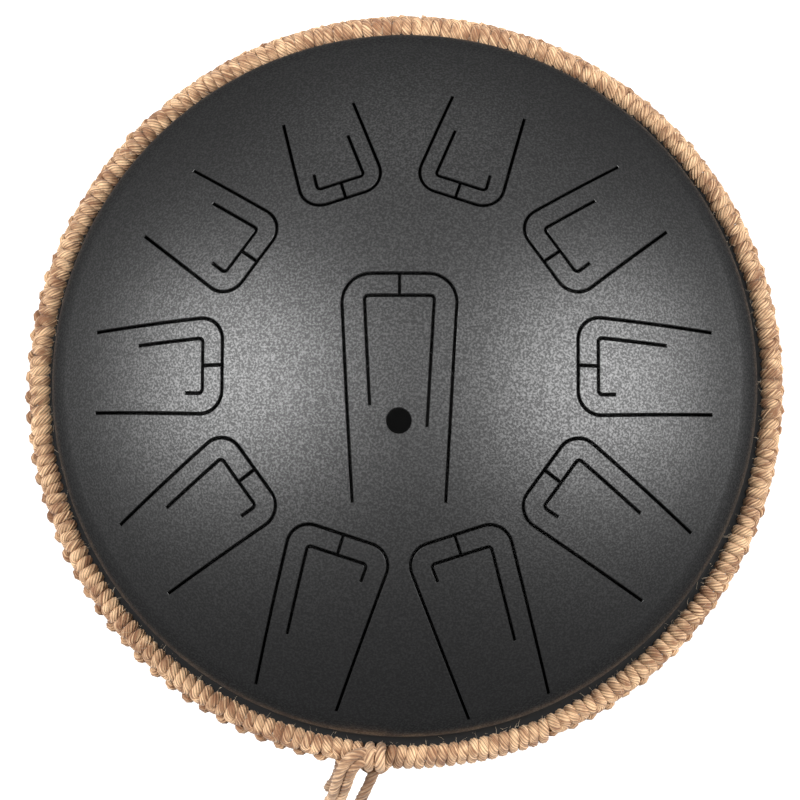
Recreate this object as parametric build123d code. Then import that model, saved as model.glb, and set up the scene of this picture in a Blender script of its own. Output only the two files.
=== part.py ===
from build123d import *
import os
from math import asin, cos, degrees, pi, radians, sin, tan

# A steel tongue drum: two pressed shells bonded at a seam flange, with a hitched cord rim.
# Millimetres, +Z up. The origin is on the surface that the feet stand on, under the crown.
# The knot of the cord rim faces -Y.

os.makedirs("parts", exist_ok=True)

# Shells
SHEET = 1.8                # steel sheet
WALL_RADIUS = 151.2        # outside of the side wall at the seam
WALL_DRAFT = 5.5           # degrees that the top shell's wall leans in above the seam
SEAM_Z = 76.0              # plane where the two flanges meet
CROWN_RISE = 86.0          # crown above the seam
CROWN_RADIUS = 215.0       # spherical crown of the top shell
SHOULDER_RADIUS = 25.0     # bend from the crown into the side wall
SHOULDER_REACH = 150.2     # how far out the shoulder bend would reach
FLANGE_RADIUS = 156.1
FLANGE_BEND = 1.6          # bend where the wall turns out into the flange
SEAM_GAP = 0.4             # filled by the adhesive

# Bottom shell
BASE_Z = 9.0               # underside of the flat base
BASE_RADIUS = 86.0         # where the flat base would meet the flank
FLANK_RADIUS = 131.0       # where the flank steepens
FLANK_Z = 28.0
SKIRT_Z = 58.0             # lower end of the straight side wall
BASE_BEND = 45.0           # bends of the bowl's section, from the base up
FLANK_BEND = 60.0
SKIRT_BEND = 20.0
PORT_RADIUS = 24.0
PORT_LIP = 7.0             # height of the lip turned up round the port

# Tongues, in plan
SLIT = 1.2                 # width of the cut
SLIT_EDGE = 0.25           # chamfer along the cuts' upper edges
INSIDE_EDGE = 0.37         # place along an edge where it is tested
ON_SURFACE = 0.02          # how near to the crown a tested point lies
FREE_END = 71.0            # free ends of the outer ring lie on this radius
TAPER = 0.055              # each side narrows by this much per millimetre towards the root
CORNER = 9.0
INNER_CORNER = 1.6
LONG_LEG = 0.65            # long inner leg, as a share of the tongue's length
SHORT_LEG = 7.2            # short inner leg, from the inner closed end
RUN_ON = 27.0              # how far a tongue's drawn outline runs on past its root
CUT_START = 15.0           # the cuts start this far above the seam plane
# bearing, half width at the free end, length, distance between the two slits, side of the long leg
TONGUES = (
    (72, 18.0, 44.5, 7.0, 1),
    (108, 17.4, 41.3, 7.2, -1),
    (36, 19.7, 51.8, 8.2, 1),
    (144, 19.7, 48.4, 8.2, -1),
    (0, 20.1, 56.8, 8.2, 1),
    (180, 19.8, 55.6, 8.2, -1),
    (-36, 20.7, 63.8, 8.3, 1),
    (216, 20.6, 59.8, 8.3, -1),
    (-72, 21.3, 72.7, 8.4, 1),
    (252, 21.3, 69.2, 8.4, -1),
)
MIDDLE_FREE_END = 35.5     # free end of the middle tongue, towards +Y
MIDDLE_HALF_WIDTH = 23.4
MIDDLE_LENGTH = 90.5
MIDDLE_INSET = 9.0
MIDDLE_CORNER = 11.5
MIDDLE_LONG_LEG = 0.675    # as a share of its length
MIDDLE_SHORT_LEG = 43.6
VENT_Y = -23.2             # small round hole in the middle tongue
VENT_RADIUS = 5.0

# Feet
FOOT_CIRCLE = 62.0         # radius that the feet stand on
FOOT_RADIUS = 10.0
FOOT_TOP_RADIUS = 8.0
FOOT_EDGE = 1.2
FOOT_BORE = 2.3
FOOT_RECESS_RADIUS = 4.8
FOOT_RECESS = 4.6          # depth of the recess for the screw head
SCREW_RADIUS = 2.0
SCREW_HEAD_RADIUS = 3.6
SCREW_HEAD = 2.4
SCREW_HEAD_EDGE = 0.8
SCREW_TIP = 0.4            # chamfer at the end of the thread
CROSS_LENGTH = 4.0         # cross recess in the head
CROSS_WIDTH = 0.9
CROSS_DEPTH = 1.0
WASHER_RADIUS = 4.4
WASHER = 0.8
SHELL_HOLE_RADIUS = 2.2
INNER_WASHER_RADIUS = 5.0
NUT_FLATS = 7.0
NUT = 3.2
THREAD_FIT = 0.02
SCREW_END = 1.2            # thread that shows above the nut

# Cord rim
RIM_RADIUS = 158.1         # circle that the cord section is centred on
RIM_SECTION = 5.1          # radius of the hitched section
CORE_SECTION = 1.7
CORE_FIT = 0.05
GROOVE_RADIUS = 156.2      # bottom of the groove that seats on the flanges
GROOVE = 4.4
CORD = 4.4                 # diameter of the jute cord

# Finishing knot and tails
KNOT_BEARING = -4.2        # degrees from -Y, positive towards +X
KNOT_WIDTH = 9.4
KNOT_INNER = 152.9
KNOT_OUTER = 166.8
KNOT_LOW = -9.0            # heights from the seam plane
KNOT_HIGH = 10.6
KNOT_EDGE = 2.0


def bend_angle():
    """Tilt of the crown's surface where the shoulder bend takes over, in radians."""
    return asin((SHOULDER_REACH - SHOULDER_RADIUS) / (CROWN_RADIUS - SHOULDER_RADIUS))


def dome_region(inset, low):
    """Half section under the dome, from the axis to its surface moved in by inset."""
    tilt = degrees(bend_angle())
    crown_centre = SEAM_Z + CROWN_RISE - CROWN_RADIUS
    reach = CROWN_RADIUS - SHOULDER_RADIUS
    shoulder_z = crown_centre + reach * cos(bend_angle())
    shoulder_centre = (SHOULDER_REACH - SHOULDER_RADIUS, shoulder_z)
    shoulder = CenterArc(shoulder_centre, SHOULDER_RADIUS - inset, -WALL_DRAFT, 90 - tilt + WALL_DRAFT)
    crown = CenterArc((0, crown_centre), CROWN_RADIUS - inset, 90 - tilt, tilt)
    wall_top = shoulder @ 0
    wall_low = (wall_top.X + (wall_top.Y - low) * tan(radians(WALL_DRAFT)), low)
    sides = Polyline(crown @ 1, (0, low), wall_low, wall_top)
    return make_face([shoulder, crown, *sides.edges()])


def bowl_region(inset):
    """Full-width section inside the bowl, from its outside surface moved in by inset."""
    above = SEAM_Z + 4 * SHEET
    right = [(BASE_RADIUS, BASE_Z), (FLANK_RADIUS, FLANK_Z), (WALL_RADIUS, SKIRT_Z), (WALL_RADIUS, above)]
    left = [(-x, z) for x, z in reversed(right)]
    bends = [BASE_BEND, FLANK_BEND, SKIRT_BEND]
    outline = make_face(Polyline(*right, *left, close=True).edges())
    for (x, z), bend in zip(right, bends):
        for side in (x, -x):
            corner = outline.vertices().sort_by_distance((side, z, 0))[0]
            outline = fillet(corner, bend)
    return offset(outline, -inset) if inset else outline


def flange_ring(z):
    """Flat flange of sheet thickness, its lower face at z."""
    inner = WALL_RADIUS - SHEET / 2
    return slab(inner, FLANGE_RADIUS, z, z + SHEET)


def spun(section):
    """Solid of revolution about Z from a section drawn in radius and height."""
    return revolve(Plane.XZ * section, Axis.Z)


def tongue_outline(half_width, length, corner, grow):
    """Plan of a tongue with its free end at x = 0, running on past its root towards +X."""
    end = length + RUN_ON
    root = half_width - TAPER * end
    plan = make_face(Polyline((0, -half_width), (end, -root), (end, root), (0, half_width), close=True).edges())
    plan = fillet(plan.vertices().sort_by(Axis.X)[:2], corner)
    return offset(plan, grow, kind=Kind.INTERSECTION)


def slit_loop(half_width, length, corner):
    """Slit that follows a tongue's outline all round; its root end is trimmed by the caller."""
    outer = tongue_outline(half_width, length, corner, SLIT / 2)
    return outer - tongue_outline(half_width, length, corner, -SLIT / 2)


def slab(x_start, x_end, y_start, y_end):
    """Rectangle between two opposite corners."""
    middle = ((x_start + x_end) / 2, (y_start + y_end) / 2)
    return Pos(*middle) * Rectangle(abs(x_end - x_start), abs(y_end - y_start))


def tongue_cut(half_width, length, inset, corner, long_leg, short_leg, side):
    """Plan of one tongue's cuts: outer slit, inner slit with unequal legs, and the bridge between."""
    wide = 2 * half_width
    outer = slit_loop(half_width, length, corner) & slab(-SLIT, length, -wide, wide)
    inner_half = half_width - TAPER * inset - inset
    inner = Pos(inset, 0) * slit_loop(inner_half, length, INNER_CORNER)
    long_side = slab(0, long_leg, 0, side * wide)
    short_side = slab(0, short_leg, 0, -side * wide)
    bridge = slab(0, inset, -SLIT / 2, SLIT / 2)
    return outer + (inner & (long_side + short_side)) + bridge


def ring_tongue(bearing, half_width, length, inset, side):
    """Plan of the cuts of one tongue of the outer ring, in place."""
    cut = tongue_cut(half_width, length, inset, CORNER, LONG_LEG * length, inset + SHORT_LEG, side)
    return Rot(0, 0, bearing) * Pos(FREE_END, 0) * cut


def middle_tongue():
    """Plan of the middle tongue's cuts, in place: its free end is towards +Y."""
    cut = tongue_cut(MIDDLE_HALF_WIDTH, MIDDLE_LENGTH, MIDDLE_INSET, MIDDLE_CORNER,
                     MIDDLE_LONG_LEG * MIDDLE_LENGTH, MIDDLE_INSET + MIDDLE_SHORT_LEG, 1)
    return Pos(0, MIDDLE_FREE_END) * Rot(0, 0, -90) * cut


def vent_hole():
    """Plan of the small round hole in the middle tongue."""
    return Pos(0, VENT_Y) * Circle(VENT_RADIUS)


def top_shell():
    """Dome with its flange, cut through from above by the slits and the small hole."""
    section = dome_region(0, SEAM_Z) - dome_region(SHEET, SEAM_Z - 1)
    section += flange_ring(SEAM_Z + SEAM_GAP / 2)
    section = section - slab(0, WALL_RADIUS + 1, SEAM_Z - 2, SEAM_Z + SEAM_GAP / 2)
    inner_bend = section.vertices().sort_by_distance((WALL_RADIUS, SEAM_Z + SEAM_GAP / 2 + SHEET, 0))[0]
    section = fillet(inner_bend, FLANGE_BEND)
    shell = spun(section)
    plans = [ring_tongue(*tongue) for tongue in TONGUES] + [middle_tongue(), vent_hole()]
    for plan in plans:
        shell -= extrude(Pos(0, 0, SEAM_Z + CUT_START) * plan, CROWN_RISE)
    return chamfer(cut_edges(shell), SLIT_EDGE)


def cut_edges(shell):
    """Edges on the crown's outer surface, apart from the circle where the shoulder begins."""
    crown_centre = Vector(0, 0, SEAM_Z + CROWN_RISE - CROWN_RADIUS)
    crown_edge = CROWN_RADIUS * sin(bend_angle()) - SLIT
    found = []
    for edge in shell.edges():
        point = edge @ INSIDE_EDGE
        on_crown = abs((point - crown_centre).length - CROWN_RADIUS) < ON_SURFACE
        if on_crown and Vector(point.X, point.Y).length < crown_edge:
            found.append(edge)
    return found


def bottom_shell():
    """Bowl with a flat base, a lipped sound port, its flange and the holes for the foot screws."""
    under_seam = slab(0, WALL_RADIUS + 1, 0, SEAM_Z - SEAM_GAP / 2)
    section = (bowl_region(0) - bowl_region(SHEET)) & under_seam
    section += flange_ring(SEAM_Z - SEAM_GAP / 2 - SHEET)
    flange_bend = section.vertices().sort_by_distance((WALL_RADIUS, SEAM_Z - SEAM_GAP / 2 - SHEET, 0))[0]
    section = fillet(flange_bend, FLANGE_BEND)
    shell = spun(section)
    upright = (Align.CENTER, Align.CENTER, Align.MIN)
    shell += Pos(0, 0, BASE_Z) * Cylinder(PORT_RADIUS + SHEET, PORT_LIP, align=upright)
    shell -= Pos(0, 0, BASE_Z) * Cylinder(PORT_RADIUS, 2 * PORT_LIP, align=upright)
    port_edge = shell.edges().sort_by_distance((PORT_RADIUS, 0, BASE_Z))[0]
    shell = fillet(port_edge, FLANGE_BEND)
    for place in PolarLocations(FOOT_CIRCLE, 4, 45):
        shell -= place * Pos(0, 0, BASE_Z) * Cylinder(SHELL_HOLE_RADIUS, 4 * SHEET)
    return shell


def seam_adhesive():
    """Thin ring of structural adhesive between the two flanges."""
    inner = WALL_RADIUS - SHEET
    return spun(slab(inner, FLANGE_RADIUS, SEAM_Z - SEAM_GAP / 2, SEAM_Z + SEAM_GAP / 2))


def rim_core_cord():
    """Closed ring of cord that the hitches are tied round."""
    return spun(Pos(RIM_RADIUS, SEAM_Z) * Circle(CORE_SECTION))


def rim_groove():
    """Section of the groove that takes the flanges' edge."""
    return slab(RIM_RADIUS - 2 * RIM_SECTION, GROOVE_RADIUS, SEAM_Z - GROOVE / 2, SEAM_Z + GROOVE / 2)


def rim_hitching():
    """Closed body of hitched cord round the core, grooved inside to sit on the flanges."""
    section = Circle(RIM_SECTION) - Circle(CORE_SECTION + CORE_FIT)
    section = Pos(RIM_RADIUS, SEAM_Z) * section
    return spun(section - rim_groove())


def rim_keepout():
    """Space taken by the hitching and the flanges, for fitting the knot round them."""
    ring = spun(Pos(RIM_RADIUS, SEAM_Z) * Circle(RIM_SECTION + CORE_FIT))
    return ring + spun(rim_groove())


def finishing_knot(tails):
    """Round-edged lump of the finishing knot, over the rim's outer side, with a socket for each tail."""
    depth = KNOT_OUTER - KNOT_INNER
    height = KNOT_HIGH - KNOT_LOW
    lump = fillet(Box(depth, KNOT_WIDTH, height).edges(), KNOT_EDGE)
    lump = Pos(KNOT_INNER + depth / 2, 0, SEAM_Z + (KNOT_LOW + KNOT_HIGH) / 2) * lump
    lump = Rot(0, 0, -90 + KNOT_BEARING) * lump
    lump -= rim_keepout()
    for tube in tails:
        lump -= tube
    return lump.solids().sort_by(SortBy.VOLUME)[-1]


def foot(place):
    """Rubber foot with a recess for the screw head."""
    body = Cone(FOOT_RADIUS, FOOT_TOP_RADIUS, BASE_Z, align=(Align.CENTER, Align.CENTER, Align.MIN))
    body = fillet(body.edges().sort_by(Axis.Z)[0], FOOT_EDGE)
    body -= Pos(0, 0, BASE_Z / 2) * Cylinder(FOOT_BORE, 2 * BASE_Z)
    body -= Pos(0, 0, FOOT_RECESS / 2) * Cylinder(FOOT_RECESS_RADIUS, FOOT_RECESS)
    return place * body


def foot_washer(place):
    """Washer that spreads the screw head's load on the rubber."""
    ring = Cylinder(WASHER_RADIUS, WASHER) - Cylinder(FOOT_BORE, WASHER)
    return place * Pos(0, 0, FOOT_RECESS - WASHER / 2) * ring


def screw_top():
    """Height of the screw's upper end."""
    return BASE_Z + SHEET + WASHER + NUT + SCREW_END


def foot_screw(place):
    """Pan-head screw with a cross recess, through the foot and the base into the nut."""
    seat = FOOT_RECESS - WASHER
    head = Cylinder(SCREW_HEAD_RADIUS, SCREW_HEAD, align=(Align.CENTER, Align.CENTER, Align.MAX))
    head = fillet(head.edges().sort_by(Axis.Z)[0], SCREW_HEAD_EDGE)
    for turn in (0, 90):
        head -= Rot(0, 0, turn) * Pos(0, 0, -SCREW_HEAD) * Box(CROSS_LENGTH, CROSS_WIDTH, 2 * CROSS_DEPTH)
    shank = Cylinder(SCREW_RADIUS, screw_top() - seat, align=(Align.CENTER, Align.CENTER, Align.MIN))
    shank = chamfer(shank.edges().sort_by(Axis.Z)[-1], SCREW_TIP)
    return place * Pos(0, 0, seat) * (head + shank)


def inner_washer(place):
    """Washer between the base and the nut, inside the drum."""
    ring = Cylinder(INNER_WASHER_RADIUS, WASHER) - Cylinder(SHELL_HOLE_RADIUS, WASHER)
    return place * Pos(0, 0, BASE_Z + SHEET + WASHER / 2) * ring


def foot_nut(place):
    """Hexagon nut inside the drum."""
    across_corners = NUT_FLATS / (2 * cos(radians(30)))
    blank = extrude(RegularPolygon(across_corners, 6), NUT) - Cylinder(SCREW_RADIUS + THREAD_FIT, 3 * NUT)
    return place * Pos(0, 0, BASE_Z + SHEET + WASHER) * blank


# Routes of the four tails, from the knot to the cut end; heights are from the seam plane
TAIL_ROUTES = {
    "tail_left_back": [(-15.4, -157.4, 7.6), (-21.4, -157.8, 9.2), (-26.6, -161.8, 8.2), (-30.2, -168.4, 3.2),
                       (-32.6, -175.0, -5.6), (-34.2, -180.0, -16.6), (-35.4, -182.8, -29.6), (-36.8, -183.4, -42.2)],
    "tail_left_front": [(-15.3, -162.4, 6.9), (-20.6, -163.5, 8.0), (-24.4, -167.4, 6.6), (-26.8, -172.8, 1.2),
                        (-28.4, -178.2, -8.0), (-29.4, -182.4, -19.4), (-29.6, -185.0, -31.8), (-28.8, -186.0, -44.2)],
    "tail_stub": [(-16.2, -161.6, -7.0), (-22.8, -162.7, -8.8), (-28.9, -166.6, -11.6), (-32.8, -171.4, -17.0),
                  (-34.3, -174.6, -23.7), (-34.6, -176.6, -30.6)],
    "tail_right": [(-12.0, -165.4, -4.6), (-14.6, -171.6, -6.8), (-17.6, -177.4, -10.8), (-20.0, -182.0, -18.6),
                   (-21.4, -184.8, -29.8), (-21.6, -186.0, -42.4), (-20.6, -186.4, -55.0)],
}


def arc_radii(points):
    """Largest tangent arc at each inner point of a route: 0.45 of the shorter run over tan(turn / 2)."""
    radii = []
    for before, point, after in zip(points, points[1:], points[2:]):
        run_in = Vector(*point) - Vector(*before)
        run_out = Vector(*after) - Vector(*point)
        turn = radians(run_in.get_angle(run_out))
        radii.append(0.45 * min(run_in.length, run_out.length) / tan(turn / 2))
    return radii


def tail(name):
    """Plain tube along one tail's route."""
    points = [(x, y, SEAM_Z + z) for x, y, z in TAIL_ROUTES[name]]
    radii = arc_radii(points)
    path = FilletPolyline(*points, radius=radii)
    start = Plane(origin=path @ 0, z_dir=path % 0)
    tube = sweep(start * Circle(CORD / 2), path=path)
    expected = path.length * pi * CORD ** 2 / 4
    print(name, "length", round(path.length, 1), "radii", [round(r, 1) for r in radii],
          "volume ratio", round(tube.volume / expected, 4))
    return tube


def write(name, shape):
    """Write one sub-part as its own STEP file."""
    export_step(shape, f"parts/{name}.step")


def main():
    """Build every sub-part and write it out."""
    write("top_shell", top_shell())
    write("bottom_shell", bottom_shell())
    write("seam_adhesive", seam_adhesive())
    write("rim_core_cord", rim_core_cord())
    write("rim_hitching", rim_hitching())
    tails = {name: tail(name) for name in TAIL_ROUTES}
    for name, tube in tails.items():
        write(name, tube)
    write("finishing_knot", finishing_knot(tails.values()))
    for number, place in enumerate(PolarLocations(FOOT_CIRCLE, 4, 45), start=1):
        write(f"foot_{number}", foot(place))
        write(f"foot_washer_{number}", foot_washer(place))
        write(f"foot_screw_{number}", foot_screw(place))
        write(f"inner_washer_{number}", inner_washer(place))
        write(f"foot_nut_{number}", foot_nut(place))


main()
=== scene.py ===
import math
import random

import bpy
import numpy as np
from mathutils import Matrix, Vector


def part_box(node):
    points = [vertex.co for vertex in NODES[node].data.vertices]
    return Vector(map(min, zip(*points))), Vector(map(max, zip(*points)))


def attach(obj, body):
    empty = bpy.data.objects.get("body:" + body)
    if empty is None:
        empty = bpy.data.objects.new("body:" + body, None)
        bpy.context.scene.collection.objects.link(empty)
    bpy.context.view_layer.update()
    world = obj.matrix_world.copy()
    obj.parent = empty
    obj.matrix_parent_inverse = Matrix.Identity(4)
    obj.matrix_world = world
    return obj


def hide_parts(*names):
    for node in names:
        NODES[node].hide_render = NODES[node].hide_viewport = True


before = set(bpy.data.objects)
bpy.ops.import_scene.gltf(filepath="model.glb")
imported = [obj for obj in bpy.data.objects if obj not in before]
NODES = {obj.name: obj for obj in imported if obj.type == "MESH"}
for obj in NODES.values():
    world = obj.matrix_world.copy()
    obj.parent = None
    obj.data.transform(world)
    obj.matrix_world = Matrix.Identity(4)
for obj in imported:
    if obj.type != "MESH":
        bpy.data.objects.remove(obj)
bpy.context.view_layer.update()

# A steel tongue drum with a rim of hitched jute cord, in metres.
# The origin is on the floor under the crown, +Z is up, and the cord's finishing knot faces -Y.

MM = 0.001
SEAM = (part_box("seam_adhesive")[0].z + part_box("seam_adhesive")[1].z) / 2
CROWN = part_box("top_shell")[1].z
RIM_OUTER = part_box("rim_hitching")[1].x

# Coating: matt up to the first height over or under the seam, satin from the second
MATT_TO = 10 * MM
SATIN_FROM = 22 * MM

# Cord rim
CORD = 4.7 * MM                   # diameter of the rim's cord before it is pressed
FLAT = 0.74                       # share of its thickness that a wrap keeps, pressed against the core
RING = RIM_OUTER - 5.3 * MM       # circle that the wraps are tied round
WRAP = 2.95 * MM                  # radius of a wrap's centreline
CURVE_PULL = 0.925                # share of its control points' distance at which a wrap's line runs
RIM_LAY = 11.0 * MM               # length in which the rim's cord twists once round
RIM_STRANDS = 8
RIM_PIECES = 8                    # the rim's cord is too long to be one piece
RIM_FIBRES = 2600
PAIR_PITCH = 8.7 * MM
SINGLE_PITCH = 4.4 * MM
SINGLES_FROM = math.radians(-92.4)
SINGLES_TO = math.radians(-67.0)
PAIRS_TO = math.radians(263.8)
BUMP = 2.2                        # how far a pair's ridge bump stands out past it, in millimetres
BUMP_MORE = 1.5                   # what is added towards the side where the bumps are largest
BUMP_SIDE = math.radians(215)

# Finishing knot and tails
KNOT_AT = math.radians(-94.2)     # direction of the knot from the axis
KNOT_CORD = 4.4 * MM
TAIL_CORD = 4.8 * MM              # the tails have loosened a little
KNOT_LAY = -17.0 * MM             # this cord is twisted the other way
KNOT_STRANDS = 6
LOOP_CORD = 2.4 * MM              # one of the thin strands that the knot's loop shows as
LOOP_STRANDS = 3
KNOT_STEP = 0.5 * MM              # length between rings of points along the knot's cords
CUT_END_FIBRES = 60

rng = random.Random(11)


def around(bearing, turn, reach):
    """Point at an angle round the rim's ring, 0 outward and 90 up, at a distance from it."""
    radius = RING + reach * math.cos(math.radians(turn))
    height = SEAM + reach * math.sin(math.radians(turn))
    return Vector((radius * math.cos(bearing), radius * math.sin(bearing), height))


# Cords ----------------------------------------------------------------------

def line_through(controls, smoothness=6):
    """Points of the smooth NURBS line that the control points give."""
    curve = bpy.data.curves.new("route", "CURVE")
    curve.dimensions = "3D"
    curve.resolution_u = smoothness
    spline = curve.splines.new("NURBS")
    spline.points.add(len(controls) - 1)
    for point, place in zip(spline.points, controls):
        point.co = (*place, 1.0)
    spline.order_u = 3
    spline.use_endpoint_u = True
    holder = bpy.data.objects.new("route", curve)
    mesh = bpy.data.meshes.new_from_object(holder)
    line = np.array([v.co for v in mesh.vertices])
    bpy.data.objects.remove(holder)
    bpy.data.curves.remove(curve)
    bpy.data.meshes.remove(mesh)
    return line


def even_steps(line, step):
    """The same line as points a fixed step apart."""
    runs = np.linalg.norm(np.diff(line, axis=0), axis=1)
    along = np.concatenate([[0], np.cumsum(runs)])
    count = max(2, round(along[-1] / step))
    marks = np.linspace(0, along[-1], count + 1)
    return np.stack([np.interp(marks, along, line[:, axis]) for axis in range(3)], 1), marks


def carried_normals(tangents):
    """A normal at each point that turns as little as it can along the line."""
    first = Vector(tangents[0]).orthogonal().normalized()
    normals = [first]
    for before, after in zip(tangents, tangents[1:]):
        swing = Vector(before).rotation_difference(Vector(after))
        normal = swing @ normals[-1]
        normal -= normal.dot(Vector(after)) * Vector(after)
        normals.append(normal.normalized())
    return np.array(normals)


def ply_section(plies, around_ply, fill):
    """Radius round a cord's section, as a share of the cord's radius, and how deep each point lies."""
    count = plies * around_ply
    angle = np.arange(count) * 2 * math.pi / count
    half = math.pi / plies
    local = (angle % (2 * half)) - half
    hollow = (np.cos(local) - math.cos(half)) / (1 - math.cos(half))
    hollow = 1 - np.sqrt(np.clip(hollow, 0, 1))
    return angle, 1 - (1 - fill) * hollow, hollow


def twisted_mesh(name, line, diameter, plies, lay, fill=0.8, around_ply=7, step=0.7 * MM, press=None,
                 wander=0.05, taper=0.0):
    """Mesh of a cord of twisted plies along a line. A positive lay length is a left-hand twist."""
    points, marks = even_steps(line, step)
    tangents = np.gradient(points, axis=0)
    tangents /= np.linalg.norm(tangents, axis=1)[:, None]
    normals = carried_normals(tangents)
    sides = np.cross(tangents, normals)
    angle, radius, depth = ply_section(plies, around_ply, fill)
    turn = -marks * 2 * math.pi / lay
    # Waves of unrelated lengths, so that the thicker and thinner stretches never repeat
    uneven = np.sin(marks * 410 + 1.3) * np.sin(marks * 173) + 0.6 * np.sin(marks * 1130 + 2)
    swell = 1 + wander * uneven
    if taper:
        swell *= 1 - taper * np.clip(1 - (marks[-1] - marks) / diameter, 0, 1) ** 2
    theta = angle[None, :] + turn[:, None]
    reach = radius[None, :] * (diameter / 2) * swell[:, None]
    way = np.cos(theta)[..., None] * normals[:, None] + np.sin(theta)[..., None] * sides[:, None]
    offset = reach[..., None] * way
    if press is not None:
        offset = press(points, offset)
    places = points[:, None] + offset
    rings, count = theta.shape
    row = np.arange(rings - 1)[:, None] * count
    col = np.arange(count)[None, :]
    after = (col + 1) % count
    quads = np.stack([row + col, row + after, row + count + after, row + count + col], -1).reshape(-1, 4)
    faces = quads.tolist()
    faces += [list(range(count))[::-1], list(range((rings - 1) * count, rings * count))]
    mesh = bpy.data.meshes.new(name)
    mesh.from_pydata(places.reshape(-1, 3).tolist(), [], faces)
    groove = mesh.attributes.new("groove", "FLOAT", "POINT")
    groove.data.foreach_set("value", np.tile(depth, rings).astype(np.float32))
    uv = mesh.uv_layers.new(name="UVMap")
    along_cord = np.repeat(marks / diameter, count)
    left = col + 0 * row
    around_cord = np.stack([left, left + 1, left + 1, left], -1).reshape(-1) / count
    corners = np.zeros((len(mesh.loops), 2), np.float32)
    corners[:quads.size, 0] = along_cord[quads].reshape(-1)
    corners[:quads.size, 1] = around_cord
    uv.data.foreach_set("uv", corners.ravel())
    mesh.polygons.foreach_set("use_smooth", np.ones(len(mesh.polygons), bool))
    mesh.update()
    return mesh, points


def place_piece(name, mesh, material, slot, *replaced):
    """Put a finished mesh in the scene as a piece of the drum."""
    piece = bpy.data.objects.new(name, mesh)
    bpy.context.scene.collection.objects.link(piece)
    mesh.materials.append(material)
    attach(piece, "root")
    if replaced:
        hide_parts(*replaced)
    return piece


# Materials ------------------------------------------------------------------

def add_node(tree, kind, *wires, **settings):
    """Node with its settings; each wire gives an input an output socket or a value."""
    node = tree.nodes.new(kind)
    for setting, value in settings.items():
        setattr(node, setting, value)
    for socket, source in wires:
        if isinstance(source, bpy.types.NodeSocket):
            tree.links.new(source, node.inputs[socket])
        else:
            node.inputs[socket].default_value = source
    return node


def new_group(name, inputs, outputs):
    """Node group with its sockets, and its input and output nodes."""
    group = bpy.data.node_groups.new(name, "ShaderNodeTree")
    for label, value in inputs.items():
        kind = "NodeSocketColor" if isinstance(value, tuple) else "NodeSocketFloat"
        group.interface.new_socket(label, in_out="INPUT", socket_type=kind).default_value = value
    for label, kind in outputs.items():
        group.interface.new_socket(label, in_out="OUTPUT", socket_type="NodeSocket" + kind)
    return group, group.nodes.new("NodeGroupInput").outputs, group.nodes.new("NodeGroupOutput").inputs


def noise(tree, vector, scale, detail=2.0, roughness=0.5):
    """Value of a noise texture."""
    node = add_node(tree, "ShaderNodeTexNoise", ("Vector", vector), ("Scale", scale), ("Detail", detail),
                    ("Roughness", roughness))
    return node.outputs["Fac"]


def stretched(tree, vector, scale):
    """Vector scaled by its own amount along each axis."""
    node = add_node(tree, "ShaderNodeMapping", ("Vector", vector), ("Scale", scale))
    return node.outputs["Vector"]


def combined(tree, operation, first, second=0.0):
    """Two values put together by a Math node, or one value changed by it."""
    node = add_node(tree, "ShaderNodeMath", (0, first), (1, second), operation=operation)
    return node.outputs["Value"]


def remapped(tree, value, start, end, low=0.0, high=1.0):
    """Value that runs from low to high while another runs from start to end."""
    node = add_node(tree, "ShaderNodeMapRange", ("Value", value), ("From Min", start), ("From Max", end),
                    ("To Min", low), ("To Max", high))
    return node.outputs["Result"]


def mixed(tree, share, none, full):
    """Colour that a share takes from one to the other."""
    node = add_node(tree, "ShaderNodeMix", (0, share), (6, none), (7, full), data_type="RGBA")
    return node.outputs[2]


def grain_group():
    """Fine grain that the hard surfaces share: a height, and bright flecks as a mask."""
    outputs = {"Height": "Float", "Flecks": "Float"}
    group, given, result = new_group("fine_grain", {"Scale": 1000.0}, outputs)
    place = add_node(group, "ShaderNodeTexCoord").outputs
    grain = noise(group, place["Object"], given["Scale"], 1.5, 0.6)
    group.links.new(grain, result["Height"])
    group.links.new(remapped(group, grain, 0.42, 0.66), result["Flecks"])
    return group


def fibre_group():
    """Jute fibre along the strands: its colour and its height, with painted shade in the grooves between
    plies and on the underside below the seam.
    """
    inputs = {"Light": (0.6, 0.4, 0.2, 1.0), "Dark": (0.3, 0.15, 0.07, 1.0), "Groove painted shade": 0.6,
              "Underside painted shade": 0.0}
    group, given, result = new_group("jute_fibre", inputs, {"Color": "Color", "Height": "Float"})
    place = add_node(group, "ShaderNodeTexCoord").outputs
    fibres = noise(group, stretched(group, place["UV"], (1.3, 46, 1)), 1.0, 4.0)
    yarns = noise(group, stretched(group, place["UV"], (0.5, 11, 1)), 1.0, 1.0)
    patches = noise(group, place["Object"], 120.0)
    uneven = combined(group, "ADD", fibres, yarns)
    share = remapped(group, combined(group, "ADD", uneven, patches), 1.32, 1.68)
    tint = mixed(group, share, given["Dark"], given["Light"])
    # Painted shade in the grooves between the plies, by the groove depth that the mesh stores
    groove = add_node(group, "ShaderNodeAttribute", attribute_name="groove").outputs["Fac"]
    groove_painted_dark = combined(group, "MULTIPLY", groove, given["Groove painted shade"])
    # Painted shade on the underside: darker from just under the seam to 3 mm below it, where the rim lies
    # in its own shadow
    height = add_node(group, "ShaderNodeSeparateXYZ", (0, place["Object"])).outputs["Z"]
    low = remapped(group, height, SEAM - 0.3 * MM, SEAM - 3.0 * MM)
    beneath = combined(group, "MULTIPLY", low, given["Underside painted shade"])
    shade = combined(group, "MAXIMUM", groove_painted_dark, beneath)
    # The painted shade darkens the tint towards a deep brown
    group.links.new(mixed(group, shade, tint, (0.16, 0.07, 0.03, 1)), result["Color"])
    group.links.new(uneven, result["Height"])
    return group


GRAIN = grain_group()
FIBRE = fibre_group()


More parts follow.
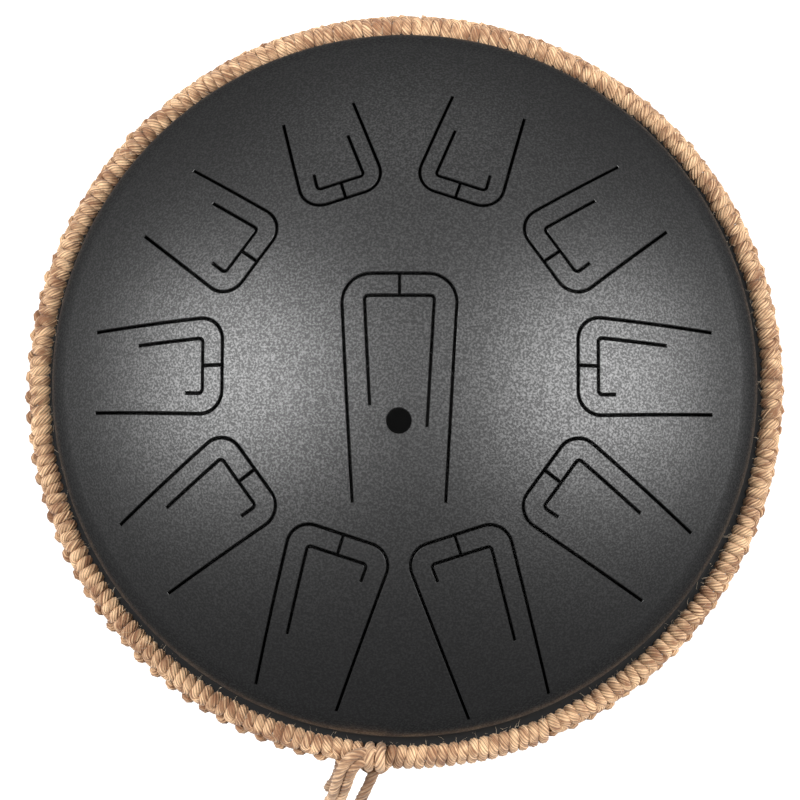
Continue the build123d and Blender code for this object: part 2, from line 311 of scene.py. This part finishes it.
def new_material(name, colour, roughness, metallic=0.0):
    """Material with a Principled shader, its node tree and the shader's inputs."""
    material = bpy.data.materials.new(name)
    material.use_nodes = True
    tree = material.node_tree
    shader = tree.nodes["Principled BSDF"].inputs
    shader["Base Color"].default_value = (*colour, 1)
    shader["Roughness"].default_value = roughness
    shader["Metallic"].default_value = metallic
    return material, tree, shader


def bump_from(tree, shader, height, strength, distance):
    """Tilt the shader's normal by a height."""
    bump = add_node(tree, "ShaderNodeBump", ("Height", height), ("Strength", strength),
                    ("Distance", distance))
    tree.links.new(bump.outputs["Normal"], shader["Normal"])


def grained_material(name, colour, roughness, metallic=0.0, scale=900.0, strength=0.2):
    """Even finish with a fine surface grain."""
    material, tree, shader = new_material(name, colour, roughness, metallic)
    grain = add_node(tree, "ShaderNodeGroup", node_tree=GRAIN)
    grain.inputs["Scale"].default_value = scale
    bump_from(tree, shader, grain.outputs["Height"], strength, 0.1 * MM)
    return material, tree, shader, grain


def coating_material():
    """Satin black powder coat whose grain sparkles where light strikes it, matt by the seam."""
    material, tree, shader, grain = grained_material("black_coat", (0.0065, 0.0065, 0.0067), 0.5,
                                                     scale=1150.0, strength=0.9)
    place = add_node(tree, "ShaderNodeTexCoord").outputs
    height = add_node(tree, "ShaderNodeSeparateXYZ", (0, place["Object"])).outputs["Z"]
    from_seam = combined(tree, "ABSOLUTE", combined(tree, "SUBTRACT", height, SEAM))
    satin = remapped(tree, from_seam, MATT_TO, SATIN_FROM)
    sparkle = combined(tree, "MULTIPLY", grain.outputs["Flecks"], satin)
    tree.links.new(remapped(tree, satin, 0.0, 1.0, low=1.0, high=0.5), shader["Roughness"])
    tree.links.new(sparkle, shader["Coat Weight"])
    shader["Coat Roughness"].default_value = 0.42
    shader["Coat IOR"].default_value = 1.7
    shader["Specular IOR Level"].default_value = 0.6
    return material


def jute_material(name, light, dark, painted_groove_shade, painted_underside_shade=0.0):
    """Jute cord with its fibres, with painted shade in its grooves and, where asked, on its underside."""
    material, tree, shader = new_material(name, light, 0.75)
    fibre = add_node(tree, "ShaderNodeGroup", node_tree=FIBRE)
    fibre.inputs["Light"].default_value = (*light, 1)
    fibre.inputs["Dark"].default_value = (*dark, 1)
    fibre.inputs["Groove painted shade"].default_value = painted_groove_shade
    fibre.inputs["Underside painted shade"].default_value = painted_underside_shade
    tree.links.new(fibre.outputs["Color"], shader["Base Color"])
    bump_from(tree, shader, fibre.outputs["Height"], 0.9, 0.55 * MM)
    shader["Sheen Weight"].default_value = 0.2
    return material


COAT = coating_material()
# The rim's jute gets painted shade in its grooves and on its underside; the knot's jute only in its grooves
RIM_JUTE = jute_material("rim_jute", (1.0, 0.66, 0.38), (0.30, 0.135, 0.06), 0.85, 0.6)
KNOT_JUTE = jute_material("knot_jute", (0.86, 0.56, 0.33), (0.32, 0.17, 0.085), 0.8)
# Darker copy of the knot's jute: painted shade for the tails that lie in the drum's shadow under the rim
PAINTED_SHADE_JUTE = jute_material("painted_shade_jute", (0.46, 0.30, 0.17), (0.20, 0.10, 0.05), 0.9)
HAIR = new_material("loose_jute_fibre", (0.74, 0.60, 0.44), 0.6)[0]
RUBBER = grained_material("black_rubber", (0.012, 0.012, 0.012), 0.75)[0]
GLUE = grained_material("black_adhesive", (0.01, 0.01, 0.01), 0.5)[0]
ZINC = grained_material("bright_zinc", (0.55, 0.56, 0.57), 0.35, 1.0)[0]
NICKEL = grained_material("nickel_plate", (0.6, 0.58, 0.54), 0.25, 1.0)[0]

FINISHES = {
    "top_shell": COAT, "bottom_shell": COAT, "seam_adhesive": GLUE, "rim_core": RIM_JUTE,
    "foot_washer": ZINC, "inner_washer": ZINC, "foot_screw": NICKEL, "foot_nut": NICKEL, "foot_": RUBBER,
}
for node, part in NODES.items():
    finish = next((f for start, f in FINISHES.items() if node.startswith(start)), None)
    if finish:
        for own in part.material_slots:
            own.material = finish
        if not part.material_slots:
            part.data.materials.append(finish)


# Rim ------------------------------------------------------------------------

def jitter(size):
    """Small random amount either way."""
    return rng.uniform(-size, size)


# One side of a pair: share of the pitch from its middle, turn round the ring, distance out in millimetres
HALF_PAIR = [(-0.34, -85, 0.3), (-0.29, -115, 0), (-0.26, -150, 0), (-0.25, -190, 0), (-0.25, -232, 0),
             (-0.255, -275, 0), (-0.275, -312, 0), (-0.27, -334, 0.2), (-0.18, -347, 0.45)]
# One half hitch, from its ridge bump round to the next
SINGLE = [(-0.06, -40, 2.4), (0.0, -28, 3.0), (0.12, 10, 0.4), (0.3, 50, 0), (0.42, 95, 0),
          (0.5, 140, -0.5), (0.55, 185, -0.8), (0.6, 230, -0.5), (0.66, 275, 0.1), (0.78, 308, 0.9)]


def pair_of_wraps(middle, pitch):
    """Control points of one pair: under and up inside, over, along the outside, and back the same way."""
    bump = BUMP + BUMP_MORE * max(0, math.cos(middle - BUMP_SIDE)) + jitter(0.3)
    half = [(-0.42, -31, bump), (-0.35, -52, bump - 1.0)] + HALF_PAIR
    points = half + [(0.0, -351, 0.6)] + [(-share, turn, out) for share, turn, out in half[::-1]]
    lean, lift, tuck = jitter(0.07), jitter(5), jitter(0.35)
    placed = []
    for share, turn, out in points:
        skew = lean * math.cos(math.radians(turn))
        bearing = middle + (share + skew) * pitch / RING
        reach = (WRAP + (out + jitter(0.16)) * MM) / CURVE_PULL
        inward = tuck * MM * max(0, -math.cos(math.radians(turn)))
        placed.append(around(bearing, turn + lift + jitter(3), reach + inward))
    return placed


def single_wrap(start):
    """Control points of one half hitch."""
    placed = []
    for share, turn, out in SINGLE:
        lift = jitter(3)
        reach = (WRAP + (out + jitter(0.15)) * MM) / CURVE_PULL
        placed.append(around(start + share * SINGLE_PITCH / RING, turn + lift, reach))
    return placed


def press_flat(points, offset):
    """Press a wrap flat towards the ring that it is tied round."""
    bearing = np.arctan2(points[:, 1], points[:, 0])
    ring = np.stack([RING * np.cos(bearing), RING * np.sin(bearing), np.full(len(points), SEAM)], 1)
    outward = points - ring
    outward /= np.linalg.norm(outward, axis=1)[:, None]
    pressed = np.einsum("ijk,ik->ij", offset, outward)[..., None] * outward[:, None]
    return offset - (1 - FLAT) * pressed


def tie_rim():
    """The whole rim: half hitches beside the knot, then pairs all the way round."""
    controls = []
    singles = round((SINGLES_TO - SINGLES_FROM) * RING / SINGLE_PITCH)
    for number in range(singles):
        controls += single_wrap(SINGLES_FROM + number * SINGLE_PITCH / RING)
    start = SINGLES_FROM + singles * SINGLE_PITCH / RING
    pairs = round((PAIRS_TO - start) * RING / PAIR_PITCH)
    pitch = (PAIRS_TO - start) * RING / pairs
    for number in range(pairs):
        controls += pair_of_wraps(start + (number + 0.5) * pitch / RING, pitch)
    line = line_through(controls)
    cuts = np.linspace(0, len(line) - 1, RIM_PIECES + 1).astype(int)
    for number, (first, last) in enumerate(zip(cuts, cuts[1:]), start=1):
        name = f"rim_cord_{number}"
        stretch = line[first:last + 1]
        mesh, _ = twisted_mesh(name, stretch, CORD, RIM_STRANDS, RIM_LAY, fill=0.86, around_ply=5,
                               press=press_flat)
        place_piece(name, mesh, RIM_JUTE, "rim_jute", "rim_hitching")


tie_rim()


# Finishing knot and tails ---------------------------------------------------

def at_knot(aside, out, up):
    """Point by the knot in millimetres: along the rim, outward from the ring, and above the seam."""
    outward = Vector((math.cos(KNOT_AT), math.sin(KNOT_AT), 0))
    along = Vector((-outward.y, outward.x, 0))
    return outward * (RING + out * MM) + along * aside * MM + Vector((0, 0, SEAM + up * MM))


def tie_wraps():
    """Two close wraps over the tails' ends; the cord moves over to the second late in the first."""
    apart, half_width, half_height = 4.7, 4.6, 8.1
    steps = 10
    controls = []
    for step in range(2 * steps + 4):
        turns = step / steps
        turn = math.radians(360 * turns - 110)
        moved_over = min(1, max(0, (turns - 0.85) / 0.35))
        aside = apart * (moved_over - 0.5) + jitter(0.15)
        out = 2.0 + half_width * math.cos(turn)
        controls.append(at_knot(aside, out, 0.9 + half_height * math.sin(turn)))
    mesh, _ = twisted_mesh("knot_wraps", line_through(controls, 10), KNOT_CORD, KNOT_STRANDS, KNOT_LAY,
                           step=KNOT_STEP)
    place_piece("knot_wraps", mesh, KNOT_JUTE, "knot_jute", "finishing_knot")


# Route of the loop that shows beneath the wraps, in at_knot's millimetres
LOOP_ROUTE = [(-3.5, 2.5, -2.5), (-5.8, 4.8, -2.5), (-4.6, 7.2, -4.2), (-1.2, 8.6, -5.6), (2.4, 8.1, -5.2),
              (5.2, 6.0, -3.4), (5.6, 3.2, -2.2), (3.6, 1.2, -2.4)]


def tie_loop(name, width, outward, upward):
    """One thin strand of the loop, drawn in to a share of its width and moved by millimetres."""
    controls = [at_knot(aside * width, out + outward, up + upward) for aside, out, up in LOOP_ROUTE]
    mesh, _ = twisted_mesh(name, line_through(controls, 10), LOOP_CORD, LOOP_STRANDS, KNOT_LAY / 2,
                           step=KNOT_STEP)
    place_piece(name, mesh, KNOT_JUTE, "knot_jute", "finishing_knot")


tie_wraps()
tie_loop("knot_loop_1", 1.0, 0.7, 0.5)
tie_loop("knot_loop_2", 0.86, -1.0, 1.2)

# Routes from the knot to the cut end, in millimetres; heights are from the seam plane
TAIL_ROUTES = {
    "tail_left_back": [
        (-11.4, -157.6, 6.0), (-15.6, -157.2, 7.6), (-19.7, -157.8, 8.8), (-24.0, -161.2, 7.2),
        (-27.4, -168.3, 0.4), (-29.6, -174.8, -8.6), (-30.8, -178.2, -18.0), (-32.2, -180.8, -29.6),
        (-33.8, -182.0, -42.2)],
    "tail_left_front": [
        (-11.4, -161.4, 5.4), (-16.0, -161.0, 7.0), (-19.4, -162.4, 7.0), (-21.8, -165.4, 3.8),
        (-23.9, -171.0, -3.4), (-26.2, -176.7, -12.0), (-28.3, -181.0, -21.5), (-29.9, -184.2, -32.0),
        (-30.2, -186.0, -44.2)],
    "tail_stub": [
        (-16.2, -161.6, -7.0), (-20.4, -159.4, -6.4), (-24.0, -158.8, -6.8), (-26.0, -160.6, -8.8),
        (-27.2, -163.1, -11.2), (-27.9, -166.2, -14.2), (-29.0, -169.4, -18.4), (-31.0, -172.6, -23.4),
        (-33.6, -175.3, -28.4)],
    "tail_right": [
        (-12.0, -165.4, -4.6), (-14.6, -171.6, -6.8), (-17.6, -177.4, -10.8), (-20.0, -182.0, -18.6),
        (-21.4, -184.8, -29.8), (-21.6, -186.0, -42.4), (-20.6, -186.4, -55.0)],
}


def hang_tail(name):
    """One free end of the knot's cord; returns its cut end and the way that it points."""
    controls = [Vector(place) * MM + Vector((0, 0, SEAM)) for place in TAIL_ROUTES[name]]
    line = line_through(controls, 12)
    mesh, points = twisted_mesh(name + "_cord", line, TAIL_CORD, KNOT_STRANDS, KNOT_LAY, step=KNOT_STEP,
                                taper=0.2)
    # The right tail and the stub take the darker copy, painted shade for lying under the rim
    jute = KNOT_JUTE if "left" in name else PAINTED_SHADE_JUTE
    piece = place_piece(name + "_cord", mesh, jute, "knot_jute", name)
    return Vector(points[-1]), Vector(points[-1] - points[-4]).normalized()


cut_ends = [hang_tail(name) for name in TAIL_ROUTES]


# Loose fibres ---------------------------------------------------------------

def loose_fibre(root, way, length, bend, thickness):
    """Vertices and faces of one thin bent fibre with three sides."""
    across = way.orthogonal().normalized()
    beside = way.cross(across)
    vertices, faces, segments = [], [], 5
    for ring in range(segments + 1):
        share = ring / segments
        middle = root + way * length * share + bend * length * share ** 2
        width = thickness * (1 - 0.6 * share) / 2
        for corner in range(3):
            angle = corner * 2 * math.pi / 3
            vertices.append(middle + (across * math.cos(angle) + beside * math.sin(angle)) * width)
    for ring in range(segments):
        for corner in range(3):
            first, second = ring * 3 + corner, ring * 3 + (corner + 1) % 3
            faces.append((first, second, second + 3, first + 3))
    faces += [(2, 1, 0), (segments * 3, segments * 3 + 1, segments * 3 + 2)]
    return vertices, faces


def random_way():
    """Random direction."""
    return Vector((rng.gauss(0, 1), rng.gauss(0, 1), rng.gauss(0, 1))).normalized()


def fibres_piece(name, starts, material, slot):
    """One mesh of many loose fibres; each start gives a root, a way, a length and how far it bends."""
    vertices, faces = [], []
    for root, way, length, bending in starts:
        made, joined = loose_fibre(root, way, length, random_way() * bending, rng.uniform(0.08, 0.2) * MM)
        faces += [tuple(corner + len(vertices) for corner in face) for face in joined]
        vertices += made
    mesh = bpy.data.meshes.new(name)
    mesh.from_pydata([tuple(v) for v in vertices], [], faces)
    mesh.polygons.foreach_set("use_smooth", np.ones(len(mesh.polygons), bool))
    mesh.update()
    place_piece(name, mesh, material, slot)


def rim_fuzz():
    """Fibres that stand off the rim, more of them where it faces the dome."""
    starts = []
    for number in range(RIM_FIBRES):
        bearing = rng.uniform(-math.pi, math.pi)
        turn = rng.uniform(-60, 200) if number % 3 else rng.uniform(140, 195)
        root = around(bearing, turn, WRAP + FLAT * CORD / 2 - 0.5 * MM)
        outward = (root - around(bearing, turn, 0)).normalized()
        way = (outward * rng.uniform(-0.1, 0.8) + random_way()).normalized()
        starts.append((root, way, rng.uniform(1.2, 4.0) * MM, rng.uniform(0.1, 0.6)))
    fibres_piece("rim_loose_fibres", starts, HAIR, "rim_jute")


def cut_end_fuzz():
    """Frayed fibres at the tails' cut ends."""
    starts = []
    for tip, way in cut_ends:
        for _ in range(CUT_END_FIBRES):
            aside = random_way() * rng.uniform(0.2, 2.0) * MM
            starts.append((tip - way * 1.5 * MM + aside, (way + random_way() * 0.4).normalized(),
                           rng.uniform(2.0, 5.0) * MM, rng.uniform(0.05, 0.4)))
    fibres_piece("tail_loose_fibres", starts, HAIR, "knot_jute")


rim_fuzz()
cut_end_fuzz()


# Stage ----------------------------------------------------------------------

def make_floor():
    """Large pale floor that the drum stands on, with a painted shadow that darkens it under the drum, and
    left out of its reflections.
    """
    painted_shadow_to, pale_from = 0.09, 0.13
    bpy.ops.mesh.primitive_plane_add(size=8)
    floor = bpy.context.object
    floor.name = "floor"
    material, tree, shader = new_material("pale_floor", (0.9, 0.9, 0.9), 0.8)
    place = add_node(tree, "ShaderNodeTexCoord").outputs
    reach = add_node(tree, "ShaderNodeVectorMath", (0, place["Object"]), operation="LENGTH")
    # Painted shadow: colour and glow fall from pale to nearly black within 0.13 m of the middle, under the
    # drum
    shade = remapped(tree, reach.outputs["Value"], painted_shadow_to, pale_from, 0.01, 0.9)
    tree.links.new(shade, shader["Base Color"])
    tree.links.new(shade, shader["Emission Color"])
    shader["Emission Strength"].default_value = 0.35
    floor.visible_glossy = False
    floor.data.materials.append(material)


def soft_box(name, place, target, size, watts):
    """Rectangular area light aimed at a point."""
    light = bpy.data.lights.new(name, "AREA")
    light.shape = "RECTANGLE"
    light.size, light.size_y = size
    light.energy = watts
    lamp = bpy.data.objects.new(name, light)
    bpy.context.scene.collection.objects.link(lamp)
    lamp.location = place
    lamp.rotation_euler = (Vector(target) - Vector(place)).to_track_quat("-Z", "Y").to_euler()


def make_lights():
    """Large soft boxes on both sides, faint ones overhead and behind, and a dim surround."""
    middle = (0, 0, CROWN)
    soft_box("left_box", (-1.32, 0.14, 1.62), middle, (1.1, 1.5), 56)
    soft_box("right_box", (1.45, 0.1, 1.47), middle, (1.1, 1.5), 54)
    soft_box("overhead", (0, 0.8, 2.3), middle, (1.6, 1.6), 3)
    soft_box("back_box", (0, 2.0, 1.05), middle, (1.8, 0.7), 5)
    world = bpy.data.worlds.new("studio")
    world.use_nodes = True
    backdrop = world.node_tree.nodes["Background"]
    backdrop.inputs["Color"].default_value = (1, 1, 1, 1)
    backdrop.inputs["Strength"].default_value = 0.08
    bpy.context.scene.world = world


def make_camera():
    """Camera nearly overhead, a little towards the knot."""
    camera = bpy.data.cameras.new("camera")
    camera.sensor_width = 36
    camera.lens = 93.47
    holder = bpy.data.objects.new("camera", camera)
    bpy.context.scene.collection.objects.link(holder)
    tilt, swing, roll, distance = math.radians(5.81), math.radians(15.2), math.radians(0.25), 0.900
    backward = Vector((math.sin(tilt) * math.sin(swing), -math.sin(tilt) * math.cos(swing), math.cos(tilt)))
    aim = Vector((-1.81 * MM, -6.78 * MM, SEAM))
    holder.location = aim + backward * distance
    across = Vector((0, 1, 0)).cross(backward).normalized()
    upward = backward.cross(across)
    facing = Matrix((across, upward, backward)).transposed()
    holder.rotation_euler = (facing @ Matrix.Rotation(roll, 3, "Z")).to_euler()
    bpy.context.scene.camera = holder


make_floor()
make_lights()
make_camera()
bpy.context.scene.view_settings.view_transform = "Standard"
